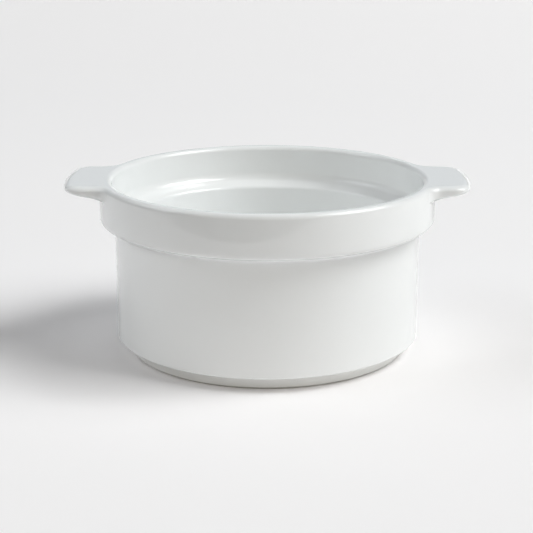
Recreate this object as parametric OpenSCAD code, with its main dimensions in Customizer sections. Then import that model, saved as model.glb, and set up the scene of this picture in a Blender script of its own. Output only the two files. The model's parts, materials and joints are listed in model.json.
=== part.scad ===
// Deep round gratin dish in glazed porcelain. A straight-sided pot steps out over a
// soft shoulder to a wider collar with a rounded rim. It stands on a recessed foot
// ring, and two flat tab handles reach out sideways just under the crest of the rim.
// A second dish stacks inside the collar, with its heel on the sloping ledge and its
// foot in the well.

/* [Pot] */
// Height of the dish, from the table to the crest of the rim
dish_h = 72; // [60:0.5:90]
// Outer diameter of the straight pot below the shoulder
pot_d = 126; // [112:0.5:150]
// Thickness of the pot's side wall
wall = 5; // [3:0.1:6]
// Thickness of the base under the well
base_t = 4.2; // [3:0.1:6]
// Fillet between the well's wall and its floor
floor_fillet = 9; // [4:0.5:14]
// Rounding of the heel, the pot's lower outer edge
heel_round = 0.9; // [0.5:0.1:3]

/* [Collar] */
// Thickness of the collar's wall
collar_wall = 5; // [3:0.1:6.5]
// Depth of the stacking ledge's inner edge below the crest of the rim
ledge_depth = 17.5; // [12:0.5:24]
// Slope of the ledge, down towards the well, in degrees
ledge_slope = 30; // [0:1:40]
// Gap all round between the collar and the pot of a dish stacked in it
stack_clear = 1; // [0.5:0.1:3]
// Rounding on each side of the rim's crest
rim_round = 2.1; // [0.5:0.1:2.7]
// Cove, the hollow rounding between the collar's wall and the ledge
ledge_fillet = 4; // [1:0.1:5]
// Rounding of the ledge's edge over the well
ledge_round = 1.6; // [0.5:0.1:3]

/* [Shoulder] */
// Height of the ledge's inner edge above the line where the pot meets the shoulder
shoulder_t = 1.7; // [1:0.1:6]
// Slope of the shoulder's underside above the horizontal, in degrees
shoulder_slope = 21; // [15:1:45]
// Hollow rounding where the pot turns out into the shoulder
shoulder_fillet = 1.9; // [0.5:0.1:4]
// Rounding where the shoulder turns up into the collar
shoulder_round = 2; // [0.5:0.1:4]

/* [Foot] */
// Height of the foot ring, from the table to the underside of the pot
foot_h = 5.8; // [3:0.1:8]
// Gap all round between the foot and the well of a dish that it is stacked in
foot_clear = 0.7; // [0.4:0.1:3]
// Width of the ring where it joins the pot
foot_root = 6; // [4:0.1:10]
// Width of the ring at the table
foot_land = 4.6; // [2.5:0.1:8]
// Rounding of the ring's two lower edges
foot_round = 0.9; // [0.3:0.1:1.2]

/* [Handles] */
// Reach of a handle beyond the collar
handle_reach = 14; // [10:0.5:25]
// Width of a handle across its parallel sides
handle_w = 44; // [30:0.5:60]
// Drop of the handle's top below the crest of the rim
handle_drop = 0.2; // [0.2:0.1:2]
// Thickness of a handle at the collar
handle_root_t = 5.6; // [3.5:0.1:7]
// Thickness of a handle just before its rounded end
handle_tip_t = 3.2; // [2.5:0.1:5]
// Corner radius of a handle seen from above
handle_corner = 7; // [2:0.5:10]
// Radius of the bow of a handle's end, seen from above
handle_bow_r = 85; // [75:5:600]
// Hollow rounding where a handle's sides run into the collar, seen from above
handle_flare = 8; // [3:0.5:12]
// Hollow rounding between a handle's underside and the collar
handle_fillet = 2.6; // [1:0.1:5]
// Width of the rounding along a handle's top edge
top_edge_w = 3.2; // [1:0.1:5]
// Depth of the rounding along a handle's top edge
top_edge_h = 1.8; // [0.5:0.1:2.5]
// Width of the rounding along a handle's lower edge
low_edge_w = 2; // [0.5:0.1:4]
// Depth of the rounding along a handle's lower edge
low_edge_h = 1.4; // [0.5:0.1:2.5]

/* [Hidden] */
$fn = 128;

glaze = [0.93, 0.94, 0.92];
biscuit = [0.87, 0.85, 0.80];

// Largest turn between two points of a rounded corner, in degrees
arc_step = 9;
// Depth to which a handle's flare runs into the collar, so that it ends in a clear edge
flare_bite = 0.35;
// Depth inside the collar at which a handle's loft starts, before it is coped to the rim
root_sink = 3;
// Share of a handle's thickness that its end's rounding takes, above and below
end_share = 0.46;
// Share of half the thickness that an edge's rounding may take
edge_share = 0.92;
// Share of a side that the roundings at its two ends may take together
side_share = 0.98;

pot_r = pot_d / 2;
well_r = pot_r - wall;
collar_in_r = pot_r + stack_clear;
collar_r = collar_in_r + collar_wall;
floor_z = foot_h + base_t;
ledge_z = dish_h - ledge_depth;
step_z = ledge_z + (collar_in_r - well_r) * tan(ledge_slope);
shoulder_z = ledge_z - shoulder_t;
collar_z = shoulder_z + (collar_r - pot_r) * tan(shoulder_slope);
foot_r = well_r - foot_clear;

// Cross-section of the pot: radius, height and rounding of each corner. The first
// five run up the outside from the axis, the rest down the inside.
pot_corners = [
    [0, foot_h, 0],
    [pot_r, foot_h, heel_round],
    [pot_r, shoulder_z, shoulder_fillet],
    [collar_r, collar_z, shoulder_round],
    [collar_r, dish_h, rim_round],
    [collar_in_r, dish_h, rim_round],
    [collar_in_r, step_z, ledge_fillet],
    [well_r, ledge_z, ledge_round],
    [well_r, floor_z, floor_fillet],
    [0, floor_z, 0]
];
outside_corners = 5;

// Cross-section of the foot ring: a straight outer wall and a sloping inner one
foot_corners = [
    [foot_r - foot_root, foot_h, 0],
    [foot_r - foot_land, 0, foot_round],
    [foot_r, 0, foot_round],
    [foot_r, foot_h, 0]
];

function unit(v) = v / norm(v);
function turn(from, to) = let (a = to - from) a > 180 ? a - 360 : a < -180 ? a + 360 : a;

// Corner i of a closed list of corners, its place, and its side towards the next corner
// or the one before, as step is 1 or -1
function corner(corners, i) = corners[(i + len(corners)) % len(corners)];
function place(corners, i) = [corner(corners, i)[0], corner(corners, i)[1]];
function side(corners, i, step) = place(corners, i + step) - place(corners, i);
function half_angle(corners, i) = acos(unit(side(corners, i, -1)) * unit(side(corners, i, 1))) / 2;

// Length of each side that corner i's rounding would take, and the share of it that it
// gets where the next rounding along a side needs room too
function wanted(corners, i) = corner(corners, i)[2] / tan(half_angle(corners, i));
function room(corners, i, step) =
    side_share * norm(side(corners, i, step)) / (wanted(corners, i) + wanted(corners, i + step));

// Points of the arc that rounds corner i
function corner_arc(corners, i) =
    let (
        b = place(corners, i),
        to_a = side(corners, i, -1),
        to_c = side(corners, i, 1),
        half = half_angle(corners, i),
        reach = wanted(corners, i) * min(1, room(corners, i, -1), room(corners, i, 1)),
        r = reach * tan(half),
        centre = b + unit(unit(to_a) + unit(to_c)) * reach / cos(half),
        start = b + unit(to_a) * reach - centre,
        end = b + unit(to_c) * reach - centre,
        from = atan2(start[1], start[0]),
        sweep = turn(from, atan2(end[1], end[0])),
        steps = ceil(abs(sweep) / arc_step)
    )
    corners[i][2] == 0
        ? [b]
        : [for (k = [0:steps]) centre + r * [cos(from + sweep * k / steps), sin(from + sweep * k / steps)]];

function rounded(corners, first, last) = [for (i = [first:last]) each corner_arc(corners, i)];

pot_outside = rounded(pot_corners, 0, outside_corners - 1);
pot_inside = rounded(pot_corners, outside_corners, len(pot_corners) - 1);

// A handle is a loft of rounded cross-sections. Each section lies along an arc: those at
// the root are concentric with the collar, and the arcs flatten towards the bowed end.
handle_top = dish_h - handle_drop;
tip_x = collar_r + handle_reach;
corner_x = tip_x - handle_corner;
half_w = handle_w / 2;
end_round = handle_tip_t * end_share;

// Centre of the arc that flares a handle's side into the collar
flare_y = half_w + handle_flare;
flare_reach = collar_r + handle_flare - flare_bite;
flare_x = sqrt(flare_reach * flare_reach - flare_y * flare_y);
flare_turn = asin(flare_x / flare_reach);
flare_end = norm([flare_x, half_w]);

flare_steps = 9;
side_steps = 4;
corner_steps = 9;
across_steps = 6;
edge_steps = 5;

function flare_point(turn) = [flare_x - handle_flare * sin(turn), flare_y - handle_flare * cos(turn)];
function mix(a, b, share) = a + (b - a) * share;

// A section's place on the X axis, its half width and the radius of its arc
function root_station(reach, w) = [reach, w, reach];
root_stations = [
    root_station(collar_r - root_sink, flare_point(flare_turn)[1]),
    for (k = [flare_steps:-1:1])
        let (p = flare_point(flare_turn * k / flare_steps))
        root_station(norm(p), p[1])
];
side_stations = [
    for (k = [0:side_steps - 1])
        let (share = k / side_steps)
        [mix(flare_end, corner_x, share), half_w, mix(flare_end, handle_bow_r, share)]
];
corner_stations = [
    for (k = [0:corner_steps])
        let (a = 90 * k / corner_steps)
        [corner_x + handle_corner * sin(a), half_w - handle_corner * (1 - cos(a)), handle_bow_r]
];
stations = concat(root_stations, side_stations, corner_stations);

// Thickness at a given X: an even taper, and the hollow rounding under the root
function handle_t(x) =
    let (out = max(0, x - collar_r), in = max(0, handle_fillet - out))
    mix(handle_root_t, handle_tip_t, out / handle_reach)
        + handle_fillet - sqrt(handle_fillet * handle_fillet - in * in);

// Height that the rounding of the handle's end takes off above and below, at a given X
function end_drop(x) =
    let (in = max(0, x - tip_x + end_round))
    end_round - sqrt(max(0, end_round * end_round - in * in));

// Right half of a section, from the middle of its top round to the middle of its underside
function half_section(station) =
    let (
        x = station[0],
        w = station[1],
        top = handle_top - end_drop(x),
        low = handle_top - handle_t(x) + end_drop(x),
        top_h = min(top_edge_h, (top - low) / 2 * edge_share),
        low_h = min(low_edge_h, (top - low) / 2 * edge_share),
        top_side = w - top_edge_w,
        low_side = w - low_edge_w
    )
    [
        for (k = [0:across_steps - 1]) [top_side * k / across_steps, top],
        for (k = [0:edge_steps])
            let (a = 90 * k / edge_steps)
            [top_side + top_edge_w * sin(a), top - top_h * (1 - cos(a))],
        for (k = [0:edge_steps])
            let (a = 90 * k / edge_steps)
            [low_side + low_edge_w * cos(a), low + low_h * (1 - sin(a))],
        for (k = [across_steps - 1:-1:0]) [low_side * k / across_steps, low]
    ];

// A section's points in space, all the way round
function section(station) =
    let (
        half = half_section(station),
        back = [for (k = [len(half) - 2:-1:1]) [-half[k][0], half[k][1]]],
        arc_r = station[2]
    )
    [for (p = concat(half, back)) [station[0] - arc_r + sqrt(arc_r * arc_r - p[0] * p[0]), p[0], p[1]]];

// Faces that close a section, as strips between its top and its underside. The section
// has n points, from first on, and is seen from its outer side when out is true.
function cap(first, n, out) = [
    for (k = [-(n - 2) / 4:(n - 2) / 4 - 1])
        let (
            top = first + (n + k) % n,
            top_next = first + (n + k + 1) % n,
            low = first + n / 2 - k,
            low_next = low - 1
        )
        each out
            ? [[top, top_next, low_next], [top, low_next, low]]
            : [[top, low_next, top_next], [top, low, low_next]]
];

// Solid through a row of sections that all have the same number of points
module loft(sections) {
    n = len(sections[0]);
    last = len(sections) - 1;
    polyhedron(
        points = [for (s = sections) each s],
        faces = [
            each cap(0, n, false),
            for (s = [0:last - 1], k = [0:n - 1])
                let (a = s * n, b = a + n, next = (k + 1) % n)
                each [[a + k, b + next, b + k], [a + k, a + next, b + next]],
            each cap(last * n, n, true)
        ]
    );
}

// Outside of the pot, filled to the axis, to which the handles' roots are coped
module pot_envelope() {
    rotate_extrude() polygon(concat(pot_outside, [[0, dish_h]]));
}

module handle() {
    difference() {
        loft([for (s = stations) section(s)]);
        pot_envelope();
    }
}

// Pot with its shoulder, collar, rim and stacking ledge, cast as one shell
module dish_body() {
    color(glaze) rotate_extrude() polygon(concat(pot_outside, pot_inside));
}

// Ring that the dish stands on, bare of glaze at the table
module foot_ring() {
    color(biscuit) rotate_extrude() polygon(rounded(foot_corners, 0, len(foot_corners) - 1));
}

// Tab handle on the -X side
module left_handle() {
    color(glaze) mirror([1, 0, 0]) handle();
}

// Tab handle on the +X side
module right_handle() {
    color(glaze) handle();
}

dish_body();
foot_ring();
left_handle();
right_handle();
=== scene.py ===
"""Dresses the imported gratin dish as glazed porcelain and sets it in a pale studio.

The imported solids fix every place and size. The pot, the foot ring and the two tab
handles are modelled again here as smooth pieces that stand for their solids, so that
the glaze runs over rim, shoulder and handle roots without a break.
"""

from __future__ import annotations

import json
import logging
import math
from dataclasses import dataclass, field
from enum import Enum

import bmesh
import bpy
from mathutils import Matrix, Vector


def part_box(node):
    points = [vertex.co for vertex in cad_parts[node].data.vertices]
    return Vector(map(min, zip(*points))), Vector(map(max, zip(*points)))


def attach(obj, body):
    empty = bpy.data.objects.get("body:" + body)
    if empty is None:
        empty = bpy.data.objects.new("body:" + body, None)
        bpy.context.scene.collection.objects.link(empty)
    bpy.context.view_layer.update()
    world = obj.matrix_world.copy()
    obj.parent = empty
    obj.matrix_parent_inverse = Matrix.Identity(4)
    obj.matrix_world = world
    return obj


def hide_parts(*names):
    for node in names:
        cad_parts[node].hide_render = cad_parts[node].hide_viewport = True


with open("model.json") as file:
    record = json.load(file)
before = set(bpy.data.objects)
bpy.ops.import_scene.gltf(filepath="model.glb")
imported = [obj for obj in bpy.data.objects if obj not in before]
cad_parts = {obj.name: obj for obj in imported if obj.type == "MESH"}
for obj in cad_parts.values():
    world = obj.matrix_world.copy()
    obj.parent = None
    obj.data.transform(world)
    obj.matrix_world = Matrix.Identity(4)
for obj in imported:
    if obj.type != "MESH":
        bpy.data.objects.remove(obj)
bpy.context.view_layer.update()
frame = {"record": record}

LOG = logging.getLogger("gratin_dish")
MM = 0.001
BODY = "root"
UP = Vector((0.0, 0.0, 1.0))
FULL_TURN = 2.0 * math.pi
QUARTER_TURN = math.pi / 2.0
MERGE_DISTANCE = 0.0005 * MM
SHARP_ANGLE = math.radians(40.0)

# The curve of sRGB: straight up to the knee, and a power above it.
SRGB_KNEE = 0.04045
SRGB_SLOPE = 12.92
SRGB_OFFSET = 0.055
SRGB_POWER = 2.4

# Sockets of a Mix node of colours, which share their names with its other kinds.
MIX_A = 6
MIX_B = 7
MIX_RESULT = 2


class Side(Enum):
    """Side of the dish that a handle is on, as the sign of its X."""

    LEFT = -1
    RIGHT = 1


def linear(code: str) -> tuple[float, float, float, float]:
    """Turns an sRGB hex colour into linear RGBA.

    Args:
        code: Colour such as "F2F3F0".

    Returns:
        Linear red, green, blue and an alpha of 1.
    """
    levels = [int(code[i:i + 2], 16) / 255.0 for i in (0, 2, 4)]
    values = [
        level / SRGB_SLOPE
        if level <= SRGB_KNEE
        else ((level + SRGB_OFFSET) / (1.0 + SRGB_OFFSET)) ** SRGB_POWER
        for level in levels
    ]
    return (*values, 1.0)


def per_mm(size_mm: float) -> float:
    """Scale of a texture whose features measure size_mm, on coordinates in metres."""
    return 1.0 / (size_mm * MM)


def add_node(
    tree: bpy.types.NodeTree,
    kind: str,
    settings: dict[str, object] | None = None,
    values: dict[str | int, object] | None = None,
    links: dict[str | int, bpy.types.NodeSocket] | None = None,
) -> bpy.types.Node:
    """Adds a node with its settings, socket values and incoming links.

    Args:
        tree: Node tree that the node joins.
        kind: Node type, such as "ShaderNodeTexNoise".
        settings: Attributes of the node itself.
        values: Default values of its input sockets, by socket name or number.
        links: Output sockets that feed its inputs, by socket name or number.

    Returns:
        The new node.
    """
    node = tree.nodes.new(kind)
    for name, value in (settings or {}).items():
        setattr(node, name, value)
    for socket, value in (values or {}).items():
        node.inputs[socket].default_value = value
    for socket, source in (links or {}).items():
        tree.links.new(source, node.inputs[socket])
    return node


def new_material(name: str) -> tuple[bpy.types.Material, bpy.types.NodeTree]:
    """Makes an empty node material.

    Args:
        name: Name of the material.

    Returns:
        The material and its node tree.
    """
    material = bpy.data.materials.new(name)
    material.use_nodes = True
    material.node_tree.nodes.clear()
    return material, material.node_tree


@dataclass(frozen=True)
class ClearGlaze:
    """Clear gloss glaze, fired on white hard porcelain.

    The eye gets a neutral white with a sharp, glassy gloss, all of it from the clear coat.
    The glaze flowed while it was molten, so it lies in long faint ripples and a finer peel,
    and its tone drifts a little where it lies thicker.
    """

    name: str = "clear_glazed_porcelain"
    thin_tone: str = "F6F8F8"
    thick_tone: str = "F3F5F5"
    tone_mm: float = 38.0
    tone_detail: float = 3.0
    roughness: float = 0.32
    glaze_roughness: float = 0.025
    glaze_ior: float = 1.52
    ripple_mm: float = 26.0
    ripple_detail: float = 1.0
    ripple_falloff: float = 0.4
    ripple_height_mm: float = 0.03
    peel_mm: float = 3.2
    peel_height_mm: float = 0.0012

    def material(self) -> bpy.types.Material:
        """Builds the glaze's node material.

        Returns:
            The material.
        """
        material, tree = new_material(self.name)
        place = add_node(tree, "ShaderNodeTexCoord").outputs["Object"]
        drift = add_node(
            tree, "ShaderNodeTexNoise",
            values={"Scale": per_mm(self.tone_mm), "Detail": self.tone_detail},
            links={"Vector": place},
        )
        tone = add_node(
            tree, "ShaderNodeMix", {"data_type": "RGBA"},
            values={MIX_A: linear(self.thin_tone), MIX_B: linear(self.thick_tone)},
            links={"Factor": drift.outputs["Fac"]},
        )
        ripple = add_node(
            tree, "ShaderNodeTexNoise",
            values={
                "Scale": per_mm(self.ripple_mm),
                "Detail": self.ripple_detail,
                "Roughness": self.ripple_falloff,
            },
            links={"Vector": place},
        )
        peel = add_node(
            tree, "ShaderNodeTexNoise",
            values={"Scale": per_mm(self.peel_mm)},
            links={"Vector": place},
        )
        long_bump = add_node(
            tree, "ShaderNodeBump",
            values={"Distance": self.ripple_height_mm * MM},
            links={"Height": ripple.outputs["Fac"]},
        )
        fine_bump = add_node(
            tree, "ShaderNodeBump",
            values={"Distance": self.peel_height_mm * MM},
            links={"Height": peel.outputs["Fac"], "Normal": long_bump.outputs["Normal"]},
        )
        shader = add_node(
            tree, "ShaderNodeBsdfPrincipled",
            values={
                "Roughness": self.roughness,
                "Specular IOR Level": 0.0,
                "Coat Weight": 1.0,
                "Coat Roughness": self.glaze_roughness,
                "Coat IOR": self.glaze_ior,
            },
            links={
                "Base Color": tone.outputs[MIX_RESULT],
                "Normal": long_bump.outputs["Normal"],
                "Coat Normal": fine_bump.outputs["Normal"],
            },
        )
        add_node(tree, "ShaderNodeOutputMaterial", links={"Surface": shader.outputs["BSDF"]})
        return material


@dataclass(frozen=True)
class FootPorcelain:
    """Porcelain of the foot: glazed on its sides and wiped bare where it meets the table.

    Bare porcelain is matt, with a fine dry grain; its dark grey tone is painted contact shade.
    """

    name: str = "wiped_foot_porcelain_painted_shade"
    glazed_tone: str = "F3F4F2"
    # Bare band: matt porcelain whose dark grey tone is painted contact shade at the foot's
    # bottom edge.
    bare_tone_painted_shade: str = "C6C5C1"
    glaze_line_mm: float = 0.6
    line_wander_mm: float = 0.3
    line_wave_mm: float = 14.0
    line_blur_mm: float = 0.1
    grain_mm: float = 0.5
    grain_height_mm: float = 0.02
    grain_strength: float = 0.6
    glazed_roughness: float = 0.12
    bare_roughness: float = 0.75
    ior: float = 1.5

    def material(self) -> bpy.types.Material:
        """Builds the foot's node material, split at the wandering glaze line, with painted
        contact shade below it.

        Returns:
            The material.
        """
        material, tree = new_material(self.name)
        place = add_node(tree, "ShaderNodeTexCoord").outputs["Object"]
        height = add_node(tree, "ShaderNodeSeparateXYZ", links={"Vector": place}).outputs["Z"]
        wave = add_node(
            tree, "ShaderNodeTexNoise",
            values={"Scale": per_mm(self.line_wave_mm)},
            links={"Vector": place},
        )
        line = add_node(
            tree, "ShaderNodeMapRange",
            values={
                "To Min": (self.glaze_line_mm - self.line_wander_mm) * MM,
                "To Max": (self.glaze_line_mm + self.line_wander_mm) * MM,
            },
            links={"Value": wave.outputs["Fac"]},
        )
        above = add_node(
            tree, "ShaderNodeMath", {"operation": "SUBTRACT"},
            links={0: height, 1: line.outputs["Result"]},
        )
        # Share that is glazed; below the line the foot is bare and matt, and painted dark as
        # contact shade.
        glazed = add_node(
            tree, "ShaderNodeMapRange",
            values={"From Min": -self.line_blur_mm * MM, "From Max": self.line_blur_mm * MM},
            links={"Value": above.outputs["Value"]},
        ).outputs["Result"]
        # The bare tone paints contact shade along the bottom of the foot.
        tone = add_node(
            tree, "ShaderNodeMix", {"data_type": "RGBA"},
            values={MIX_A: linear(self.bare_tone_painted_shade), MIX_B: linear(self.glazed_tone)},
            links={"Factor": glazed},
        )
        gloss = add_node(
            tree, "ShaderNodeMapRange",
            values={"To Min": self.bare_roughness, "To Max": self.glazed_roughness},
            links={"Value": glazed},
        )
        grain = add_node(
            tree, "ShaderNodeTexNoise",
            values={"Scale": per_mm(self.grain_mm)},
            links={"Vector": place},
        )
        bump = add_node(
            tree, "ShaderNodeBump",
            values={"Strength": self.grain_strength, "Distance": self.grain_height_mm * MM},
            links={"Height": grain.outputs["Fac"]},
        )
        shader = add_node(
            tree, "ShaderNodeBsdfPrincipled",
            values={"IOR": self.ior},
            links={
                "Base Color": tone.outputs[MIX_RESULT],
                "Roughness": gloss.outputs["Result"],
                "Normal": bump.outputs["Normal"],
            },
        )
        add_node(tree, "ShaderNodeOutputMaterial", links={"Surface": shader.outputs["BSDF"]})
        return material


@dataclass(frozen=True)
class PaperSweep:
    """Matt white paper of the studio floor, with a faint tooth and no sheen."""

    name: str = "white_sweep_paper"
    tone: str = "FBF9F9"
    tooth_mm: float = 1.5
    tooth_height_mm: float = 0.01
    tooth_strength: float = 0.2

    def material(self) -> bpy.types.Material:
        """Builds the paper's node material.

        Returns:
            The material.
        """
        material, tree = new_material(self.name)
        place = add_node(tree, "ShaderNodeTexCoord").outputs["Object"]
        tooth = add_node(
            tree, "ShaderNodeTexNoise",
            values={"Scale": per_mm(self.tooth_mm)},
            links={"Vector": place},
        )
        bump = add_node(
            tree, "ShaderNodeBump",
            values={"Strength": self.tooth_strength, "Distance": self.tooth_height_mm * MM},
            links={"Height": tooth.outputs["Fac"]},
        )
        shader = add_node(
            tree, "ShaderNodeBsdfDiffuse",
            values={"Color": linear(self.tone)},
            links={"Normal": bump.outputs["Normal"]},
        )
        add_node(tree, "ShaderNodeOutputMaterial", links={"Surface": shader.outputs["BSDF"]})
        return material


@dataclass(frozen=True)
class FlagCloth:
    """Dark matt cloth of the flag that keeps floor light off the front of the dish.

    It is clear from below, so that the paper under it stays as white as the rest.
    """

    name: str = "dark_flag_cloth"
    tone: str = "303030"

    def material(self) -> bpy.types.Material:
        """Builds the cloth's node material.

        Returns:
            The material.
        """
        material, tree = new_material(self.name)
        cloth = add_node(tree, "ShaderNodeBsdfDiffuse", values={"Color": linear(self.tone)})
        clear = add_node(tree, "ShaderNodeBsdfTransparent")
        from_below = add_node(tree, "ShaderNodeNewGeometry").outputs["Backfacing"]
        shader = add_node(
            tree, "ShaderNodeMixShader",
            links={"Fac": from_below, 1: cloth.outputs["BSDF"], 2: clear.outputs["BSDF"]},
        )
        add_node(tree, "ShaderNodeOutputMaterial", links={"Surface": shader.outputs["Shader"]})
        return material


def make_object(
    bm: bmesh.types.BMesh, name: str, finish: bpy.types.Material
) -> bpy.types.Object:
    """Makes an object of a mesh and links it to the scene.

    Args:
        bm: Mesh, which is freed.
        name: Name of the object.
        finish: Its material.

    Returns:
        The object, at the origin.
    """
    mesh = bpy.data.meshes.new(name)
    bm.to_mesh(mesh)
    bm.free()
    mesh.materials.append(finish)
    made = bpy.data.objects.new(name, mesh)
    bpy.context.scene.collection.objects.link(made)
    return made


def make_piece(
    bm: bmesh.types.BMesh, name: str, node: str, finish: bpy.types.Material
) -> bpy.types.Object:
    """Cleans a closed mesh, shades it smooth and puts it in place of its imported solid.

    Args:
        bm: Mesh, which is freed.
        name: Name of the piece.
        node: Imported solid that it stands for.
        finish: Its material.

    Returns:
        The finished piece.
    """
    bmesh.ops.remove_doubles(bm, verts=bm.verts, dist=MERGE_DISTANCE)
    bmesh.ops.dissolve_degenerate(bm, edges=bm.edges, dist=MERGE_DISTANCE)
    bmesh.ops.recalc_face_normals(bm, faces=bm.faces)
    for face in bm.faces:
        face.smooth = True
    for edge in bm.edges:
        edge.smooth = edge.calc_face_angle(0.0) < SHARP_ANGLE
    piece = make_object(bm, name, finish)
    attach(piece, BODY)
    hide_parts(node)
    return piece


def mount_radius(name: str) -> float:
    """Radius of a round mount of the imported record, in metres."""
    mount = next(m for m in frame["record"]["mounts"] if m["name"] == name)
    return mount["dims"]["r_mm"] * MM


@dataclass(frozen=True)
class Corner:
    """Corner of a turned section: its radius, height and rounding, in metres."""

    r: float
    z: float
    rounding: float = 0.0


@dataclass
class TurnedPiece:
    """A piece that is turned from a section with rounded corners."""

    name: str
    node: str
    slot: str
    closed: bool
    corner_segments: int
    turn_steps: int

    def corners(self) -> list[Corner]:
        """Corners of the section in order, which each piece gives."""
        raise NotImplementedError

    def draw_section(self, bm: bmesh.types.BMesh) -> None:
        """Draws the section as a chain of edges in the XZ plane and rounds its corners.

        Args:
            bm: Mesh that gets the section.
        """
        corners = self.corners()
        verts = [bm.verts.new((c.r, 0.0, c.z)) for c in corners]
        nexts = verts[1:] + verts[:1] if self.closed else verts[1:]
        for pair in zip(verts, nexts):
            bm.edges.new(pair)
        for vert, corner in zip(verts, corners):
            if corner.rounding:
                to_a, to_b = [edge.other_vert(vert).co - vert.co for edge in vert.link_edges]
                reach = corner.rounding / math.tan(to_a.angle(to_b) / 2.0)
                bmesh.ops.bevel(
                    bm, geom=[vert], offset=reach, offset_type="ABSOLUTE",
                    segments=self.corner_segments, profile=0.5, affect="VERTICES", material=-1,
                )

    def build(self, finish: bpy.types.Material) -> bpy.types.Object:
        """Spins the section once round the dish's axis and puts the piece in place.

        Args:
            finish: Material of the piece.

        Returns:
            The finished piece.
        """
        bm = bmesh.new()
        self.draw_section(bm)
        bmesh.ops.spin(
            bm, geom=bm.verts[:] + bm.edges[:], cent=(0, 0, 0), axis=(0, 0, 1), dvec=(0, 0, 0),
            angle=FULL_TURN, steps=self.turn_steps, use_merge=True,
        )
        return make_piece(bm, self.name, self.node, finish)


@dataclass
class DishBody(TurnedPiece):
    """The pot with its shoulder, collar, rim and stacking ledge. Sizes are in metres."""

    name: str = "porcelain_dish"
    node: str = "dish_body"
    slot: str = "glazed_porcelain"
    closed: bool = False
    corner_segments: int = 12
    turn_steps: int = 256
    pot_r: float = 63.0 * MM
    wall: float = 5.0 * MM
    base: float = 4.2 * MM
    ledge_depth: float = 17.5 * MM
    shoulder_wall: float = 1.7 * MM
    shoulder_slope: float = math.radians(21.0)
    heel_round: float = 0.9 * MM
    shoulder_fillet: float = 1.9 * MM
    shoulder_round: float = 2.0 * MM
    rim_round: float = 2.1 * MM
    ledge_slope: float = math.radians(30.0)
    ledge_fillet: float = 4.0 * MM
    ledge_round: float = 1.6 * MM
    floor_fillet: float = 9.0 * MM
    collar_r: float = field(init=False)
    collar_in_r: float = field(init=False)
    under_z: float = field(init=False)
    top_z: float = field(init=False)

    def __post_init__(self) -> None:
        """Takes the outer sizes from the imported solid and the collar's bore from its mount."""
        low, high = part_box(self.node)
        self.collar_r = high[0]
        self.collar_in_r = mount_radius("collar_socket")
        self.under_z = low[2]
        self.top_z = high[2]

    def corners(self) -> list[Corner]:
        """Corners of the section, up the outside and down the inside.

        Returns:
            The corners in order, from the axis to the axis.
        """
        well_r = self.pot_r - self.wall
        floor_z = self.under_z + self.base
        ledge_z = self.top_z - self.ledge_depth
        shoulder_z = ledge_z - self.shoulder_wall
        collar_z = shoulder_z + (self.collar_r - self.pot_r) * math.tan(self.shoulder_slope)
        step_z = ledge_z + (self.collar_in_r - well_r) * math.tan(self.ledge_slope)
        return [
            Corner(0.0, self.under_z),
            Corner(self.pot_r, self.under_z, self.heel_round),
            Corner(self.pot_r, shoulder_z, self.shoulder_fillet),
            Corner(self.collar_r, collar_z, self.shoulder_round),
            Corner(self.collar_r, self.top_z, self.rim_round),
            Corner(self.collar_in_r, self.top_z, self.rim_round),
            Corner(self.collar_in_r, step_z, self.ledge_fillet),
            Corner(well_r, ledge_z, self.ledge_round),
            Corner(well_r, floor_z, self.floor_fillet),
            Corner(0.0, floor_z),
        ]


@dataclass
class FootRing(TurnedPiece):
    """The ring under the pot. Sizes are in metres."""

    name: str = "foot_ring_porcelain"
    node: str = "foot_ring"
    slot: str = "bare_porcelain"
    closed: bool = True
    corner_segments: int = 6
    turn_steps: int = 256
    root_w: float = 6.0 * MM
    land_w: float = 4.6 * MM
    edge_round: float = 0.9 * MM
    outer_r: float = field(init=False)
    height: float = field(init=False)

    def __post_init__(self) -> None:
        """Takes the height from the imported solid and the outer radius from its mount."""
        self.outer_r = mount_radius("foot_spigot")
        self.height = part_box(self.node)[1][2]

    def corners(self) -> list[Corner]:
        """Corners of the ring's section.

        Returns:
            The corners in order, as a closed loop.
        """
        return [
            Corner(self.outer_r - self.root_w, self.height),
            Corner(self.outer_r - self.land_w, 0.0, self.edge_round),
            Corner(self.outer_r, 0.0, self.edge_round),
            Corner(self.outer_r, self.height),
        ]


def mix(a: float, b: float, share: float) -> float:
    """Value that lies share of the way from a to b."""
    return a + (b - a) * share


def ease(share: float) -> float:
    """Smooth step from 0 to 1, flat at both ends."""
    return share * share * (3.0 - 2.0 * share)


def shares(steps: int) -> list[float]:
    """Even shares from 0 to 1, both included."""
    return [k / steps for k in range(steps + 1)]


def flat_way(angle: float) -> Vector:
    """Level direction at an angle from +X towards +Y."""
    return Vector((math.cos(angle), math.sin(angle), 0.0))


def between(start: Vector, end: Vector, steps: int) -> list[Vector]:
    """Points on the straight line from start to end, both included."""
    return [start.lerp(end, share) for share in shares(steps)]


def quarter(centre: Vector, first: Vector, last: Vector, steps: int) -> list[Vector]:
    """Points on a quarter of an ellipse from its first arm to its last, both included."""
    angles = [QUARTER_TURN * share for share in shares(steps)]
    return [centre + first * math.cos(a) + last * math.sin(a) for a in angles]


@dataclass(frozen=True)
class EdgePoint:
    """Point of a handle's plan outline: its place, outward normal and share of the flare."""

    place: Vector
    normal: Vector
    flare: float = 0.0


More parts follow.
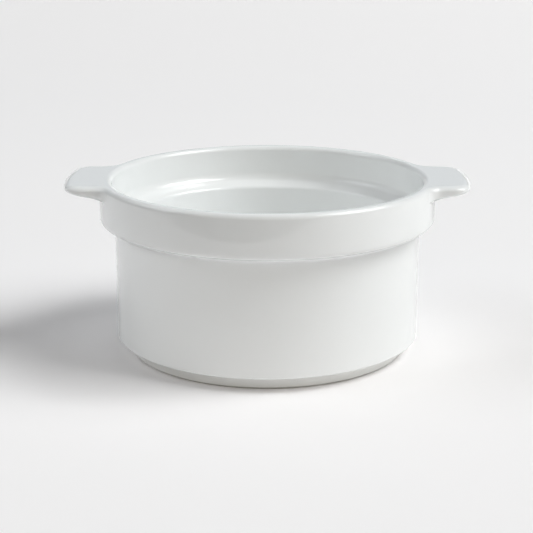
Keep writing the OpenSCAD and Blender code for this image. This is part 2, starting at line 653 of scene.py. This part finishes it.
@dataclass
class TabHandle:
    """A tab handle whose top runs on from the rim's crest. Sizes are in metres.

    The tab is one skin over a fan of sections. Each section starts on the crest, runs out
    over the tab to its edge, round it, back along the underside and down a hollow fillet
    to the collar. Where the tab runs out into the collar, the shares and the edge gap keep
    the roundings of a section clear of each other.
    """

    side: Side
    body: DishBody
    slot: str = "glazed_porcelain"
    width: float = 44.0 * MM
    root_t: float = 5.6 * MM
    tip_t: float = 3.2 * MM
    corner_r: float = 7.5 * MM
    bow_r: float = 85.0 * MM
    flare_r: float = 8.0 * MM
    fillet_r: float = 2.6 * MM
    top_edge: tuple[float, float] = (3.2 * MM, 1.8 * MM)
    low_edge: tuple[float, float] = (2.0 * MM, 1.4 * MM)
    sink: float = 0.02 * MM
    edge_gap: float = 0.1 * MM
    top_share: float = 0.55
    low_share: float = 0.45
    fillet_share: float = 0.5
    end_steps: int = 10
    corner_steps: int = 10
    side_steps: int = 6
    flare_steps: int = 14
    top_steps: int = 8
    edge_steps: int = 8
    under_steps: int = 5
    fillet_steps: int = 8
    tip_x: float = field(init=False)

    def __post_init__(self) -> None:
        """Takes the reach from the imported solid."""
        low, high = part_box(self.node)
        self.tip_x = max(abs(low[0]), abs(high[0]))

    @property
    def node(self) -> str:
        """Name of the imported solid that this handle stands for."""
        return f"{self.side.name.lower()}_handle"

    @property
    def name(self) -> str:
        """Name of the finished piece."""
        return f"{self.side.name.lower()}_tab_handle"

    def half_outline(self) -> list[EdgePoint]:
        """Plan outline from the middle of the end to where the flare meets the collar.

        Returns:
            Points with Y at or above 0, in order.
        """
        half = self.width / 2.0
        bow_x = self.tip_x - self.bow_r
        corner_y = half - self.corner_r
        corner_x = bow_x + math.sqrt((self.bow_r - self.corner_r) ** 2 - corner_y ** 2)
        bow_turn = math.atan2(corner_y, corner_x - bow_x)
        flare_y = half + self.flare_r
        flare_reach = self.body.collar_r + self.flare_r - self.sink
        flare_x = math.sqrt(flare_reach ** 2 - flare_y ** 2)
        flare_turn = math.asin(flare_x / flare_reach)
        bow = Vector((bow_x, 0.0, 0.0))
        corner = Vector((corner_x, corner_y, 0.0))
        flare = Vector((flare_x, flare_y, 0.0))
        points = []
        for share in shares(self.end_steps)[:-1]:
            out = flat_way(bow_turn * share)
            points.append(EdgePoint(bow + out * self.bow_r, out))
        for share in shares(self.corner_steps):
            out = flat_way(mix(bow_turn, QUARTER_TURN, share))
            points.append(EdgePoint(corner + out * self.corner_r, out))
        for share in shares(self.side_steps)[1:-1]:
            place = Vector((mix(corner_x, flare_x, share), half, 0.0))
            points.append(EdgePoint(place, flat_way(QUARTER_TURN)))
        for share in shares(self.flare_steps):
            out = flat_way(QUARTER_TURN - flare_turn * share)
            points.append(EdgePoint(flare - out * self.flare_r, out, share))
        return points

    def outline(self) -> list[EdgePoint]:
        """Plan outline from one flare round the tab to the other.

        Returns:
            Points from the lowest Y to the highest.
        """
        half = self.half_outline()
        flip = Vector((1.0, -1.0, 1.0))
        back = [EdgePoint(p.place * flip, p.normal * flip, p.flare) for p in reversed(half[1:])]
        return back + half

    def depth(self, reach: float) -> float:
        """Thickness of the tab at a reach from the collar."""
        return mix(self.root_t, self.tip_t, min(1.0, reach / (self.tip_x - self.body.collar_r)))

    def section(self, edge: EdgePoint, turn: float) -> list[Vector]:
        """Closed section from the crest out to a point of the outline and back.

        Args:
            edge: Point of the outline.
            turn: Angle about the dish's axis at which the section leaves the crest.

        Returns:
            Points of the section in order. All sections have the same number.
        """
        body = self.body
        away = flat_way(turn)
        reach = max(0.0, edge.place.length - body.collar_r)
        depth = self.depth(reach)
        flare = ease(edge.flare)
        top_w = mix(self.top_edge[0], body.rim_round - self.sink, flare)
        top_h = min(mix(self.top_edge[1], body.rim_round, flare), depth * self.top_share)
        low_w = min(self.low_edge[0], reach * self.low_share)
        low_h = min(self.low_edge[1], depth - top_h - self.edge_gap)
        fillet = min(self.fillet_r, reach * self.fillet_share)
        low_z = body.top_z - depth
        root_z = body.top_z - self.depth(fillet) - fillet
        crest = away * (body.collar_r - body.rim_round)
        upper_mid = edge.place - edge.normal * top_w + UP * (body.top_z - top_h)
        lower_mid = edge.place - edge.normal * low_w + UP * (low_z + low_h)
        root_mid = away * (body.collar_r - self.sink + fillet) + UP * root_z
        upper = quarter(upper_mid, UP * top_h, edge.normal * top_w, self.edge_steps)
        lower = quarter(lower_mid, edge.normal * low_w, UP * -low_h, self.edge_steps)
        root = quarter(root_mid, UP * fillet, away * -fillet, self.fillet_steps)
        top = between(crest + UP * body.top_z, upper[0], self.top_steps)[:-1]
        under = between(lower[-1], root[0], self.under_steps)[1:-1]
        return top + upper + lower + under + root + [crest + UP * root_z]

    def sections(self) -> list[list[Vector]]:
        """Sections all round the tab.

        They leave the crest at angles in step with the length of the outline.

        Returns:
            The sections in the order of the outline.
        """
        outline = self.outline()
        lengths = [0.0]
        for a, b in zip(outline, outline[1:]):
            lengths.append(lengths[-1] + (b.place - a.place).length)
        first, last = [math.atan2(p.place.y, p.place.x) for p in (outline[0], outline[-1])]
        turns = [mix(first, last, length / lengths[-1]) for length in lengths]
        return [self.section(edge, turn) for edge, turn in zip(outline, turns)]

    def on_seam(self, edge: bmesh.types.BMEdge) -> bool:
        """Whether a boundary edge runs along the first or last points of the sections."""
        near = self.body.collar_r - self.body.rim_round + self.sink
        return all(v.co.xy.length < near for v in edge.verts)

    def build(self, finish: bpy.types.Material) -> bpy.types.Object:
        """Lays a grid over the sections, closes it and puts it in place of its solid.

        Args:
            finish: Material of the handle.

        Returns:
            The finished piece.
        """
        sections = self.sections()
        rows = len(sections) - 1
        columns = len(sections[0]) - 1
        bm = bmesh.new()
        bmesh.ops.create_grid(bm, x_segments=rows, y_segments=columns, size=1.0)
        # The grid runs from -1 to 1 both ways.
        for vert in bm.verts:
            row = round((vert.co.x + 1.0) / 2.0 * rows)
            column = round((vert.co.y + 1.0) / 2.0 * columns)
            vert.co = sections[row][column]
        seam = [e for e in bm.edges if e.is_boundary and self.on_seam(e)]
        bmesh.ops.bridge_loops(bm, edges=seam)
        bmesh.ops.holes_fill(bm, edges=[e for e in bm.edges if e.is_boundary])
        bmesh.ops.scale(bm, vec=(self.side.value, 1.0, 1.0), verts=bm.verts)
        return make_piece(bm, self.name, self.node, finish)


@dataclass(frozen=True)
class SoftBox:
    """Soft box that faces the dish. Its distance and aim are in metres.

    Angles are in degrees, seen from the dish, and azimuth runs from +X to +Y. The light is
    the irradiance that it gives at the dish on a surface that faces it.
    """

    name: str
    azimuth: float
    elevation: float
    spread: tuple[float, float]
    light: float
    tone: str
    distance: float = 6.0
    aim_z: float = 35.0 * MM

    def hang(self) -> bpy.types.Object:
        """Hangs the soft box.

        Returns:
            The lamp.
        """
        rise = math.radians(self.elevation)
        way = flat_way(math.radians(self.azimuth)) * math.cos(rise) + UP * math.sin(rise)
        place = way * self.distance
        data = bpy.data.lights.new(self.name, "AREA")
        data.shape = "RECTANGLE"
        data.size, data.size_y = [
            2.0 * self.distance * math.tan(math.radians(angle) / 2.0) for angle in self.spread
        ]
        data.energy = self.light * math.pi * self.distance ** 2
        data.color = linear(self.tone)[:3]
        lamp = bpy.data.objects.new(self.name, data)
        facing = (UP * self.aim_z - place).to_track_quat("-Z", "Y").to_matrix().to_4x4()
        lamp.matrix_world = Matrix.Translation(place) @ facing
        bpy.context.scene.collection.objects.link(lamp)
        return lamp


@dataclass
class Studio:
    """Floor, flag, lamps and camera, set as in the photograph. Sizes are in metres."""

    floor_near: float = 4.0
    floor_half: float = 4.0
    rise_start: float = 0.65
    rise_r: float = 1.6
    rise_turn: float = math.radians(35.0)
    rise_steps: int = 32
    flag_edge: float = -287.0 * MM
    flag_turn: float = math.radians(-20.0)
    flag_half: float = 1.8
    flag_height: float = 0.5 * MM
    wall_tone: str = "FFFFFF"
    ceiling_tone: str = "1E1F20"
    wall_top: float = 0.5
    fill_strength: float = 0.04
    camera_place: tuple[float, float, float] = (-0.36 * MM, -575.2 * MM, 195.0 * MM)
    camera_pitch: float = math.radians(15.71)
    camera_lens: float = 96.2
    camera_sensor: float = 36.0
    lamps: tuple[SoftBox, ...] = (
        SoftBox("key_box", -14.0, 49.0, (30.0, 33.0), 2.05, "FDFFFF"),
        SoftBox("key_side_box", 8.0, 48.0, (20.0, 28.0), 0.64, "FDFFFF"),
        SoftBox("low_box", -34.0, 18.0, (44.0, 22.0), 0.23, "FFF6E8"),
        SoftBox("left_box", 171.0, 42.0, (58.0, 44.0), 0.7, "F7FBFF"),
        SoftBox("left_side_box", 185.0, 36.0, (30.0, 24.0), 0.39, "F7FBFF"),
        SoftBox("front_box", 250.0, 28.0, (58.0, 32.0), 0.45, "FFF6E8"),
        SoftBox("back_box", 90.0, 20.0, (100.0, 20.0), 0.37, "F2F8FF"),
        SoftBox("back_high_box", 90.0, 65.0, (60.0, 24.0), 0.16, "F2F8FF"),
    )

    def lay_floor(self, finish: bpy.types.Material) -> bpy.types.Object:
        """Lays the paper under the dish: flat, and then rising gently behind it.

        Args:
            finish: Material of the paper.

        Returns:
            The floor.
        """
        bm = bmesh.new()
        sides = (-self.floor_half, self.floor_half)
        front = [bm.verts.new((x, -self.floor_near, 0.0)) for x in sides]
        flat = bmesh.ops.extrude_edge_only(bm, edges=[bm.edges.new(front)])["geom"]
        back = [v for v in flat if isinstance(v, bmesh.types.BMVert)]
        bmesh.ops.translate(bm, vec=(0.0, self.floor_near + self.rise_start, 0.0), verts=back)
        bmesh.ops.spin(
            bm, geom=back + [bm.edges.get(back)], cent=(0.0, self.rise_start, self.rise_r),
            axis=(1, 0, 0), dvec=(0, 0, 0), angle=self.rise_turn, steps=self.rise_steps,
        )
        bmesh.ops.recalc_face_normals(bm, faces=bm.faces)
        for face in bm.faces:
            face.smooth = True
        floor = make_object(bm, "paper_sweep", finish)
        return floor

    def lay_flag(self, finish: bpy.types.Material) -> bpy.types.Object:
        """Lays a dark flag on the floor in front of the dish, which the camera doesn't see.

        The flag takes away the light that the floor would throw up at the front of the dish,
        and the glaze shows its edge as a soft line along the collar. It casts no shadow.

        Args:
            finish: Material of the flag.

        Returns:
            The flag.
        """
        bm = bmesh.new()
        bmesh.ops.create_grid(bm, x_segments=1, y_segments=1, size=self.flag_half)
        middle = (0.0, self.flag_edge - self.flag_half, self.flag_height)
        turn = Matrix.Rotation(self.flag_turn, 3, "Z")
        bmesh.ops.translate(bm, vec=middle, verts=bm.verts)
        bmesh.ops.rotate(bm, cent=(0, 0, 0), matrix=turn, verts=bm.verts)
        flag = make_object(bm, "dark_flag", finish)
        flag.visible_camera = False
        flag.visible_shadow = False
        return flag

    def light(self) -> None:
        """Sets the room, pale at the walls and dark above, and hangs the soft boxes."""
        world = bpy.data.worlds.new("studio")
        world.use_nodes = True
        tree = world.node_tree
        tree.nodes.clear()
        way = add_node(tree, "ShaderNodeTexCoord").outputs["Generated"]
        height = add_node(tree, "ShaderNodeSeparateXYZ", links={"Vector": way}).outputs["Z"]
        climb = add_node(
            tree, "ShaderNodeMapRange", {"interpolation_type": "SMOOTHSTEP"},
            values={"From Max": self.wall_top},
            links={"Value": height},
        )
        tone = add_node(
            tree, "ShaderNodeMix", {"data_type": "RGBA"},
            values={MIX_A: linear(self.wall_tone), MIX_B: linear(self.ceiling_tone)},
            links={"Factor": climb.outputs["Result"]},
        )
        fill = add_node(
            tree, "ShaderNodeBackground",
            values={"Strength": self.fill_strength},
            links={"Color": tone.outputs[MIX_RESULT]},
        )
        add_node(tree, "ShaderNodeOutputWorld", links={"Surface": fill.outputs["Background"]})
        bpy.context.scene.world = world
        for lamp in self.lamps:
            lamp.hang()

    def place_camera(self) -> None:
        """Puts the camera where the photograph was taken from."""
        data = bpy.data.cameras.new("photo_camera")
        data.lens = self.camera_lens
        data.sensor_width = self.camera_sensor
        camera = bpy.data.objects.new("photo_camera", data)
        camera.location = self.camera_place
        camera.rotation_euler = (QUARTER_TURN - self.camera_pitch, 0.0, 0.0)
        bpy.context.scene.collection.objects.link(camera)
        bpy.context.scene.camera = camera

    def build(self, paper: bpy.types.Material, cloth: bpy.types.Material) -> None:
        """Sets up the whole studio.

        Args:
            paper: Material of the floor.
            cloth: Material of the flag.
        """
        self.lay_floor(paper)
        self.lay_flag(cloth)
        self.light()
        self.place_camera()
        bpy.context.scene.view_settings.view_transform = "Standard"


def main() -> None:
    """Builds the dish and the studio."""
    logging.basicConfig(level=logging.INFO)
    glaze = ClearGlaze().material()
    body = DishBody()
    pieces = [
        body.build(glaze),
        FootRing().build(FootPorcelain().material()),
        TabHandle(Side.LEFT, body).build(glaze),
        TabHandle(Side.RIGHT, body).build(glaze),
    ]
    for piece in pieces:
        LOG.info("%s: %d faces", piece.name, len(piece.data.polygons))
    Studio().build(PaperSweep().material(), FlagCloth().material())


if __name__ == "__main__":
    main()
